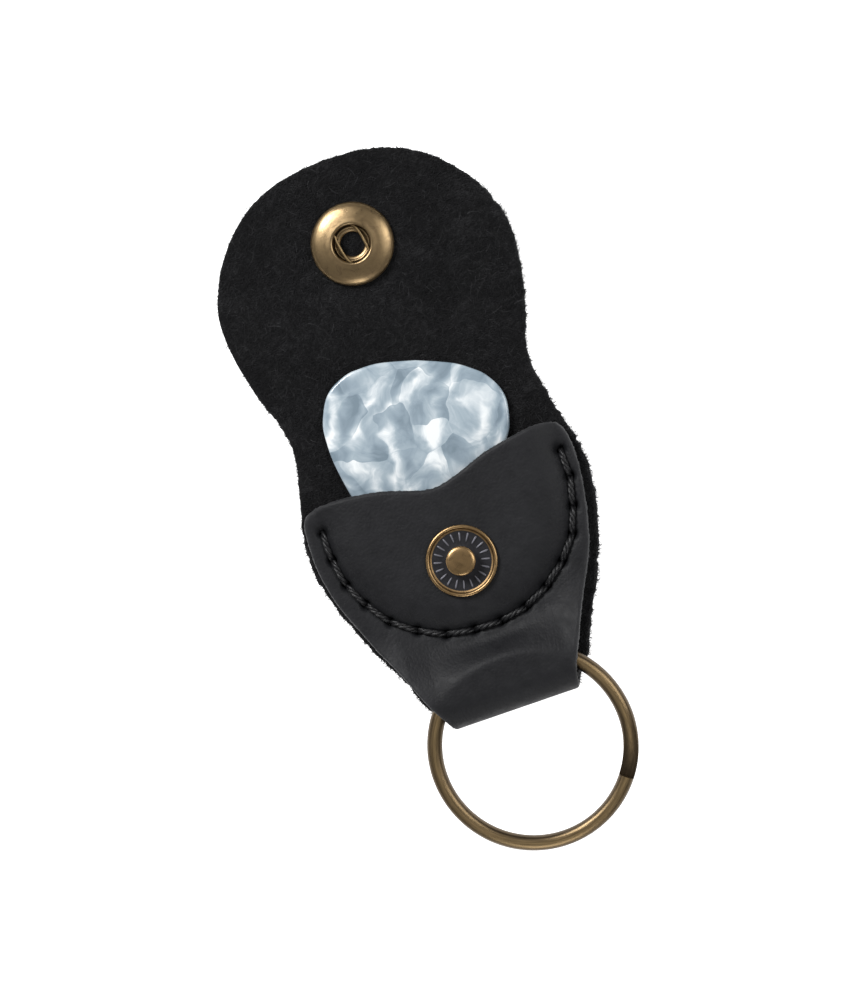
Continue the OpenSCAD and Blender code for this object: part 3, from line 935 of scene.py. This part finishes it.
# extra points for the stitches on the front and for the hump
ex = []
for d in np.arange(-1.5, 1.51, 0.21):
    ln = resample(np.vstack([HOLES]), 0.21)
    tg = np.gradient(ln, axis=0)
    tg /= np.linalg.norm(tg, axis=1)[:, None]
    ex.append(ln + np.stack([-tg[:, 1], tg[:, 0]], 1) * d)
ex = np.vstack(ex)
ex[:, 1] = FRONT_S - (ex[:, 1] - FOLD_C)
# thin out where offset rows crowd together
keep = []
cellmap = {}
for p in ex:
    c = (int(p[0] / 0.17), int(p[1] / 0.17))
    if c not in cellmap:
        cellmap[c] = 1
        keep.append(p)
ex = np.array(keep)

whole = [[x, y] for x, y in el[::-1] if y > -18.2]
outline_r = [[x, y] for x, y in er[::-1] if y > -18.2]
fold_r = right_side[-len(curve([[0, 0]] * 7, 4)):]
fold_l = left_side[-len(curve([[0, 0]] * 7, 4)):]
body_poly = outline_r + fold_r + front_pts + fold_l[::-1] + [[x, y] for x, y in el if y > -18.2][:-1]
leather = strap_piece("strap_leather", body_poly, [], "holder", rest_point(BEND_0), rest_point(BEND_1),
                      seed=11, extra=ex, bare=lambda p: (p[:, 1] > 8.0))
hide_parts("back_panel", "ring_loop", "pocket_front", "hinge_strip_lower", "hinge_strip_upper", "flap_root", "flap")

# ------------------------------------------------------------------ stitches
def stitch(a, b, za, zb, na, dia, seed, sag=0.0):
    """One stitch: three waxed strands laid round each other, diving into its two holes."""
    g = np.random.default_rng(seed)
    a, b = np.array(a), np.array(b)
    n = 26
    t = np.linspace(0, 1, n)
    dirv = (b - a) / np.linalg.norm(b - a)
    L = np.linalg.norm(b - a)
    c = a[None] + dirv[None] * (t[:, None] * L)
    prof = 1 - (2 * np.abs(t - 0.5)) ** 3
    z = za + (zb - za) * t + na * (0.0 - 1.35 * (1 - prof))
    cen = np.column_stack([c, z])
    tan = np.gradient(cen, axis=0)
    tan /= np.linalg.norm(tan, axis=1)[:, None]
    side = np.cross(tan, [0, 0, 1.0])
    side /= np.linalg.norm(side, axis=1)[:, None]
    up = np.cross(side, tan)
    V, F, LOC = [], [], []
    S, K = 3, 9
    ph0 = g.uniform(0, 6.28)
    for s in range(S):
        ph = ph0 + 2 * np.pi * s / S + t * L * 2.1
        cc = cen + (side * np.cos(ph)[:, None] + up * np.sin(ph)[:, None]) * dia * 0.235
        b0 = len(V)
        for i in range(n):
            for k in range(K):
                q = 2 * np.pi * k / K
                V.append(cc[i] + (side[i] * math.cos(q) + up[i] * math.sin(q)) * dia * 0.29)
                LOC.append((t[i] * L, math.cos(q) + s * 3, math.sin(q)))
        for i in range(n - 1):
            for k in range(K):
                k2 = (k + 1) % K
                F.append((b0 + i * K + k, b0 + (i + 1) * K + k, b0 + (i + 1) * K + k2, b0 + i * K + k2))
        F.append(tuple(b0 + k for k in range(K)))
        F.append(tuple(b0 + (n - 1) * K + k for k in reversed(range(K))))
    return np.array(V), F, 0, {"loc": np.array(LOC)}


def front_top(x, y):
    s = FRONT_S - (np.array([y]) - FOLD_C)
    return place(np.array([x]), s, np.array([0.0]))[0][2]


parts = []
for i in range(15):
    a, b = HOLES[i], HOLES[i + 1]
    mid = (a + b) / 2
    zc = front_top(*mid) + 0.34
    parts.append(stitch(a, b, zc, zc, 1, 0.9, 100 + i))
    parts.append(stitch(a, b, 0.47, 0.47, -1, 0.80, 200 + i))
V, F, Mi, A = join(parts)
thread = make("waxed_seam", V, F, [M["thread"]], Mi, A, body="holder")
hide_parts("seam_thread")


# ------------------------------------------------------------------ snap hardware
def T3(v):
    """A point given from the socket's centre, as it stands on the open flap."""
    v = np.asarray(v, float) + [0, PITCH, 2.0]
    for y, in ((Y3,), (Y2,), (Y1,)):
        a = math.radians(1.0)
        p = v - [0, y, 2.0]
        v = np.stack([p[:, 0], p[:, 1] * math.cos(a) - p[:, 2] * math.sin(a), p[:, 1] * math.sin(a) + p[:, 2] * math.cos(a)], 1) + [0, y, 2.0]
    return v


def arc(cx, cz, r, a0, a1, n):
    return [(cx + r * math.cos(math.radians(a)), cz + r * math.sin(math.radians(a))) for a in np.linspace(a0, a1, n)]


# socket: domed ring with a rolled mouth
prof = [(2.3, 0.02), (5.55, 0.02)] + arc(5.6, 0.40, 0.38, -80, 20, 7)
prof += [(5.93, 0.62), (5.78, 0.86), (5.5, 1.1), (5.1, 1.3), (4.6, 1.47), (4.1, 1.59), (3.7, 1.67), (3.4, 1.72)]
prof += arc(3.02, 1.44, 0.36, 75, 200, 9) + [(2.72, 1.2), (2.95, 1.12), (4.2, 1.12), (5.0, 0.85), (5.2, 0.3), (2.3, 0.22)]
v, f, idx = lathe(prof)
r = np.hypot(v[:, 0], v[:, 1])
# darker inside the socket, round its mouth and low on the skirt: painted shade with patina
dirt = np.clip((r - 5.45) / 0.5, 0, 1) * 0.35 * (v[:, 2] < 0.7) + np.where(v[:, 2] < 1.15, 0.7 * (r < 5.2), 0) + 0.25 * np.exp(-((r - 3.35) / 0.14) ** 2)
sock = make("snap_socket_ring", T3(v), f, [M["brass"]], attrs={"loc": v, "dirt": dirt}, body="flap")
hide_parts("snap_socket")

# cap with barrel, rolled over inside the socket
prof = [(0, -T - 1.19)] + [(6.3 * math.sin(math.radians(t)), -T - 0.42 - 0.77 * math.cos(math.radians(t))) for t in range(6, 85, 6)]
prof += arc(6.05, -T - 0.26, 0.25, -50, 90, 7) + [(2.15, -T - 0.02), (2.15, 0.24), (2.35, 0.25)] + arc(2.42, 0.48, 0.24, -60, 190, 10)
prof += [(1.95, 0.4), (1.72, 0.2), (1.65, -1.4), (0, -1.6)]
v, f, idx = lathe(prof)
r = np.hypot(v[:, 0], v[:, 1])
# darker inside the barrel and at the dome's rim: painted shade with patina
dirt = np.where(v[:, 2] > -1.9, np.where(v[:, 2] < 0.2, 0.85, 0.1), np.clip((r - 5.9) / 0.4, 0, 1) * 0.5)
capo = make("snap_cap_dome", T3(v), f, [M["brass"]], attrs={"loc": v, "dirt": dirt}, body="flap")
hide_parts("snap_cap")

# the S spring
def wire(path, r, k=10):
    path = np.asarray(path, float)
    tan = np.gradient(path, axis=0)
    tan /= np.linalg.norm(tan, axis=1)[:, None]
    up = np.tile([0, 0, 1.0], (len(path), 1))
    sd = np.cross(tan, up)
    sd /= np.linalg.norm(sd, axis=1)[:, None]
    up = np.cross(sd, tan)
    V, F = [], []
    for i in range(len(path)):
        for j in range(k):
            q = 2 * np.pi * j / k
            V.append(path[i] + (sd[i] * math.cos(q) + up[i] * math.sin(q)) * r)
    for i in range(len(path) - 1):
        for j in range(k):
            j2 = (j + 1) % k
            F.append((i * k + j, i * k + j2, (i + 1) * k + j2, (i + 1) * k + j))
    F.append(tuple(range(k))[::-1])
    F.append(tuple((len(path) - 1) * k + j for j in range(k)))
    return np.array(V), F


s_path = [(-3.5, 1.2), (-3.4, 1.9), (-2.9, 2.35), (-2.35, 2.3), (-2.02, 1.8), (-1.95, 1.0), (-1.8, 0), (-1.62, -1.0), (-1.3, -2.0), (-0.7, -2.8), (0.1, -3.1)]
parts = []
for sg in (1, -1):
    p = curve(s_path, 5) * sg
    v, f = wire(np.column_stack([p, np.full(len(p), 1.0 if sg > 0 else 0.93)]), 0.23)
    # the spring inside the socket a little darker all over: painted shade with patina
    parts.append((v, f, 0, {"loc": v, "dirt": np.full(len(v), 0.15)}))
V, F, Mi, A = join(parts)
spring = make("s_spring_wire", T3(V), F, [M["inner"]], Mi, A, body="flap")
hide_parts("snap_spring")

# stud: rolled rim, black ribbed recess, ball
prof = [(1.3, 0.02), (4.85, 0.02)] + arc(4.82, 0.31, 0.29, -85, 150, 14) + [(4.48, 0.30), (4.40, 0.26)]
v, f, idx = lathe(prof + [(4.2, 0.2), (1.3, 0.2)])
# inner part of the stud's flange darker: painted shade with patina
parts = [(v, f, 0, {"loc": v, "dirt": 0.35 * (np.hypot(v[:, 0], v[:, 1]) < 4.6)})]
fl = [(4.50, 0.27), (4.3, 0.215), (4.0, 0.21), (3.2, 0.215), (2.5, 0.23), (2.1, 0.26), (1.8, 0.33)]
v, f, idx = lathe(fl, closed=False)
f = [q[::-1] for q in f]
parts.append((v, f, 1, {"loc": v, "rub": 0.0 * v[:, 0]}))
# twenty pressed ribs, each a little rounded bar
for i in range(20):
    a = math.radians(18 * i + 4)
    vv, ff = [], []
    n = 9
    for j in range(n):
        t = j / (n - 1)
        rr = 2.62 + 1.5 * t
        hw = (0.125 + 0.075 * t) * math.sqrt(max(1 - (2 * abs(t - 0.5)) ** 5, 0.02))
        hh = 0.17 * math.sqrt(max(1 - (2 * abs(t - 0.5)) ** 4, 0.0))
        for k in range(7):
            q = math.pi * k / 6
            vv.append((rr, -hw * math.cos(q), 0.2 + hh * math.sin(q)))
    for j in range(n - 1):
        for k in range(6):
            ff.append((j * 7 + k, (j + 1) * 7 + k, (j + 1) * 7 + k + 1, j * 7 + k + 1))
    vv = np.array(vv)
    loc = np.stack([vv[:, 0] * math.cos(a) - vv[:, 1] * math.sin(a), vv[:, 0] * math.sin(a) + vv[:, 1] * math.cos(a), vv[:, 2]], 1)
    # tops of the ribs marked for lighter colour: painted highlight
    parts.append((loc, ff, 1, {"loc": loc, "rub": np.clip((vv[:, 2] - 0.24) / 0.12, 0, 1)}))
ball = [(1.82, 0.24), (1.74, 0.4), (1.70, 0.8), (1.72, 1.2), (1.85, 1.42), (2.02, 1.56), (2.10, 1.70), (2.10, 1.82), (2.02, 1.95), (1.86, 2.05), (1.6, 2.11), (1.2, 2.145), (0.6, 2.158), (0, 2.16)]
v, f, idx = lathe(ball, closed=False)
f = [q[::-1] for q in f]
# ball darker towards its neck: painted shade under the ball, with patina
parts.append((v, [q[::-1] for q in f], 0, {"loc": v, "dirt": np.clip((1.5 - v[:, 2]) / 0.8, 0, 1) * 0.8}))
V, F, Mi, A = join(parts)
stud = make("snap_stud_ball", V + [0, 0, Z_FACE - 0.02], F, [M["rim"], M["oxide"]], Mi, A, body="holder")
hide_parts("snap_stud")

# eyelet inside the pocket
prof = [(0.75, -0.3), (3.5, -0.3)] + arc(3.62, -0.16, 0.14, -80, 80, 6) + [(1.18, -0.02), (1.18, 2.4), (0.75, 2.4)]
v, f, idx = lathe(prof, 64)
# eyelet inside the pocket darker all over: painted shade with patina
post = make("snap_post_eyelet", v + [0, 0, Z_UNDER], f, [M["rim"]], attrs={"loc": v, "dirt": np.full(len(v), 0.3)}, body="holder")
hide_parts("snap_post")

# ------------------------------------------------------------------ pick
PH = [[0, 0], [5.2, -0.4], [8.3, -1.3], [10, -2.1], [11.9, -3.8], [12.9, -5.6], [13.3, -8], [13.3, -9.8],
      [12.9, -11.5], [12.1, -14], [10.9, -16.6], [9, -20], [6.9, -23.2], [5, -25.8], [3.6, -27.6],
      [2.2, -28.9], [1, -29.4], [0, -29.5]]
half = curve(PH, 5)
half[:, 1] *= 29.2 / 29.5
ring_pts = np.vstack([half, (half * [-1, 1])[::-1][1:-1]])
ring_pts = resample(ring_pts, 0.5, closed=True)
N = len(ring_pts)
cen = np.array([0.0, -12.5])
tg = np.roll(ring_pts, -1, 0) - np.roll(ring_pts, 1, 0)
tg /= np.linalg.norm(tg, axis=1)[:, None]
inn = np.stack([tg[:, 1], -tg[:, 0]], 1)
if (((cen - ring_pts) * inn).sum(1) < 0).mean() > 0.5:
    inn = -inn
rows = []
for d, z in ((0.55, 0.0), (0.30, 0.03), (0.12, 0.12), (0.02, 0.28), (0.0, 0.40), (0.02, 0.52), (0.12, 0.68), (0.30, 0.77), (0.55, 0.80)):
    rows.append(np.column_stack([ring_pts + inn * d, np.full(N, z)]))
scales = (0.93, 0.8, 0.62, 0.42, 0.22)
bottom, top = rows[0], rows[-1]
botrows = [np.column_stack([cen + (bottom[:, :2] - cen) * s, np.full(N, 0.0)]) for s in reversed(scales)]
toprows = [np.column_stack([cen + (top[:, :2] - cen) * s, np.full(N, 0.8)]) for s in scales]
allrows = botrows + rows + toprows
V = [np.array([[*cen, 0.0]])] + allrows + [np.array([[*cen, 0.8]])]
V = np.vstack(V)
F = []
R = len(allrows)
for i in range(N):
    j = (i + 1) % N
    F.append((0, 1 + i, 1 + j))
    for k in range(R - 1):
        a, b = 1 + k * N, 1 + (k + 1) * N
        F.append((a + i, b + i, b + j, a + j))
    F.append((1 + (R - 1) * N + i, 1 + R * N, 1 + (R - 1) * N + j))
loc = V.copy()
a = math.radians(-19.4)
P = np.stack([V[:, 0] * math.cos(a) - V[:, 1] * math.sin(a) + 3.0, V[:, 0] * math.sin(a) + V[:, 1] * math.cos(a) + 29.1, V[:, 2]], 1)
b = math.radians(1.15)
q = P - [0, 0.8, 0]
P = np.stack([q[:, 0], q[:, 1] * math.cos(b) - q[:, 2] * math.sin(b), q[:, 1] * math.sin(b) + q[:, 2] * math.cos(b)], 1) + [0, 0.8, 2.06]
pick = make("pearl_pick", P, F, [M["pearl"]], attrs={"loc": loc}, body="pick")
bpy.context.view_layer.update()
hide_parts("pick")

# ------------------------------------------------------------------ split ring
W, HH = 1.1, 1.15
JOG0, JOG1 = math.radians(-37), math.radians(5)
turns = []
a0 = JOG1 - 2 * math.pi + 2 * math.pi          # lower coil starts under the jog's upper end
n1 = 420
phi = np.linspace(JOG1, JOG0 + 4 * math.pi, n1)
rise0, rise1 = JOG0 + 2 * math.pi, JOG1 + 2 * math.pi
f = smooth((phi - rise0) / (rise1 - rise0))
prof_n = 14
V, LOC, WEAR_AND_HIGHLIGHT, F = [], [], [], []
ts = np.linspace(0, math.pi, 9)
for i, p in enumerate(phi):
    up = f[i]
    # half round, domed away from the other coil; it goes over from one side to the other along the jog
    sec = [(W * math.cos(t), HH * up * math.sin(t) ** 0.8 - 0.03 * (1 - up) * math.sin(t)) for t in ts]
    sec += [(W * math.cos(t), -HH * (1 - up) * math.sin(t) ** 0.8 + 0.03 * up * math.sin(t)) for t in ts[-2:0:-1]]
    for k, (x, z) in enumerate(sec):
        V.append(((13.9 + x) * math.cos(p), (13.9 + x) * math.sin(p), z))
        LOC.append((p * 13.9, x * 3, z * 3))
        # crest of each coil's domed face marked for bright brass: wear with a painted highlight
        WEAR_AND_HIGHLIGHT.append(math.exp(-(x / 0.42) ** 2) * (up if k < 9 else 1 - up))
K = 16
for i in range(len(phi) - 1):
    for k in range(K):
        k2 = (k + 1) % K
        F.append((i * K + k, i * K + k2, (i + 1) * K + k2, (i + 1) * K + k))
F.append(tuple(range(K)))
F.append(tuple((len(phi) - 1) * K + k for k in reversed(range(K))))
V = np.array(V)
t = math.radians(RING_TILT)
q = V + [RING_X, RING_Y + 16.3, 0]
P = np.stack([q[:, 0], q[:, 1] * math.cos(t) - q[:, 2] * math.sin(t), q[:, 1] * math.sin(t) + q[:, 2] * math.cos(t)], 1) + [0, -16.3, FOLD_Z]
ring = make("split_ring", P, F, [M["ring"]], attrs={"loc": np.array(LOC), "rub": np.array(WEAR_AND_HIGHLIGHT)}, body="key_ring")
me = ring.data
bm_faces = me.polygons
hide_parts("key_ring")
import bmesh
for o in list(bpy.data.objects):
    if o.type == "MESH" and "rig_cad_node" not in o and o.name not in ("strap_leather",):
        bm = bmesh.new()
        bm.from_mesh(o.data)
        bmesh.ops.recalc_face_normals(bm, faces=bm.faces)
        bm.to_mesh(o.data)
        bm.free()
for o in (ring,):
    o.data.set_sharp_from_angle(angle=math.radians(50))
for o in (sock, capo, stud, post):
    o.data.set_sharp_from_angle(angle=math.radians(60))

# ------------------------------------------------------------------ stage, light, camera
sc = bpy.context.scene
sc.view_settings.view_transform = "Standard"
sc.view_settings.look = "None"
me = bpy.data.meshes.new("studio_floor")
me.from_pydata([(-3, -3, -0.0001), (3, -3, -0.0001), (3, 3, -0.0001), (-3, 3, -0.0001)], [], [(0, 1, 2, 3)])
floor = bpy.data.objects.new("studio_floor", me)
sc.collection.objects.link(floor)
fm_, nt, b = mat("studio_floor", (0.86, 0.86, 0.86), 0.9, spec=0.0)
b.inputs["Emission Color"].default_value = (1, 1, 1, 1)
b.inputs["Emission Strength"].default_value = 0.95
me.materials.append(fm_)

world = bpy.data.worlds.new("studio") if sc.world is None else sc.world
sc.world = world
world.use_nodes = True
bg = world.node_tree.nodes.get("Background") or world.node_tree.nodes.new("ShaderNodeBackground")
bg.inputs["Color"].default_value = (1, 1, 1, 1)
bg.inputs["Strength"].default_value = 0.28


def area(name, loc, target, size, power, colour=(1, 1, 1), size_y=None):
    li = bpy.data.lights.new(name, "AREA")
    li.energy = power
    li.color = colour
    li.shape = "RECTANGLE"
    li.size = size
    li.size_y = size_y or size
    o = bpy.data.objects.new(name, li)
    sc.collection.objects.link(o)
    o.location = loc
    d = Vector(target) - Vector(loc)
    o.rotation_euler = d.to_track_quat("-Z", "Y").to_euler()
    return o


area("key", (-0.22, 0.42, 0.42), (0, 0.01, 0), 0.22, 4.2)
area("fill", (0.42, 0.02, 0.40), (0, 0.01, 0), 0.30, 1.3)
area("low", (-0.12, -0.50, 0.28), (0, 0, 0), 0.25, 0.8)

cam_data = bpy.data.cameras.new("camera")
cam = bpy.data.objects.new("camera", cam_data)
sc.collection.objects.link(cam)
sc.camera = cam
cam_data.lens = 100
cam_data.sensor_width = 36
cam_data.sensor_fit = "AUTO"
cam_data.clip_start = 0.01
cam_data.clip_end = 20
roll = math.radians(19.38)
right = Vector((math.cos(roll), -math.sin(roll), 0))
upv = Vector((math.sin(roll), math.cos(roll), 0))
tilt = math.radians(6.0)
aim = Vector((-2.35, 9.9, 3.0)) * MM
away = (Vector((0, 0, 1)) * math.cos(tilt) + right * math.sin(tilt)).normalized()
cam.location = aim + away * 0.3945
zc = away
xc = upv.cross(zc).normalized()
yc = zc.cross(xc)
from mathutils import Matrix
cam.matrix_world = Matrix(((xc.x, yc.x, zc.x, cam.location.x), (xc.y, yc.y, zc.y, cam.location.y), (xc.z, yc.z, zc.z, cam.location.z), (0, 0, 0, 1)))

bpy.context.view_layer.update()
